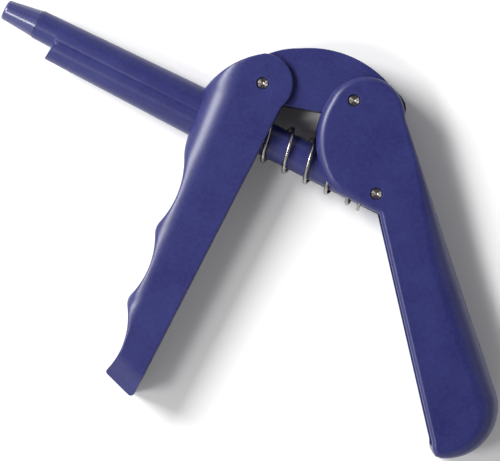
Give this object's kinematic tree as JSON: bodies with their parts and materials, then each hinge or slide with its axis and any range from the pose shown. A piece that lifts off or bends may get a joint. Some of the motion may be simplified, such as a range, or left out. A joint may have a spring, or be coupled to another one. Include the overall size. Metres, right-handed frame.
{
  "type": "capsule dispensing gun",
  "caption": "Squeeze-handle dispensing gun: two handles joined by a bridge link drive a sprung plunger through a long keeled barrel to push a capsule's contents out.",
  "frame": {"origin": "centre of the nozzle bore's mouth, at the muzzle", "axes": "+X back along the barrel's axis, +Y up towards the bridge link, +Z out of the side of the handles"},
  "size_m": [0.1879, 0.1206, 0.019],
  "materials": {
    "blue_plastic": "fine matte moulded grain",
    "nose_plastic": "smoother satin gloss",
    "pin_steel": "turned end faces",
    "spring_steel": "drawn wire"
  },
  "bodies": {
    "frame": {"front_handle": "blue_plastic", "barrel": "blue_plastic", "nose_sleeve": "nose_plastic", "guide_bush": "blue_plastic", "front_pivot_pin": "pin_steel", "return_spring": "spring_steel"},
    "link": {"bridge_link": "blue_plastic"},
    "lever": {"rear_handle": "blue_plastic", "link_pivot_pin": "pin_steel", "plunger_pin": "pin_steel"},
    "plunger": {"plunger_rod": "blue_plastic", "ram_rod": "pin_steel", "ram_tip": "blue_plastic"}
  },
  "joints": [
    {"name": "link_swing", "type": "hinge", "parent": "frame", "child": "link", "pos_m": [0.0796, 0.0142, 0], "axis": [0, 0, 1], "range_deg": [0, 15]},
    {"name": "rear_handle_squeeze", "type": "hinge", "parent": "link", "child": "lever", "pos_m": [0.1063, 0.0219, 0], "axis": [0, 0, -1], "range_deg": [0, 44], "stiffness_Nm_per_rad": 0.16, "springref_deg": -28.65},
    {"name": "plunger_slide", "type": "slide", "parent": "frame", "child": "plunger", "axis": [-1, 0, 0], "range_m": [0, 0.0154], "deforming": ["return_spring"]}
  ],
  "couplings": [
    {"joint": "link_swing", "follows": "rear_handle_squeeze", "ratio": 0.34},
    {"joint": "plunger_slide", "follows": "rear_handle_squeeze", "m_per_rad": 0.02}
  ]
}
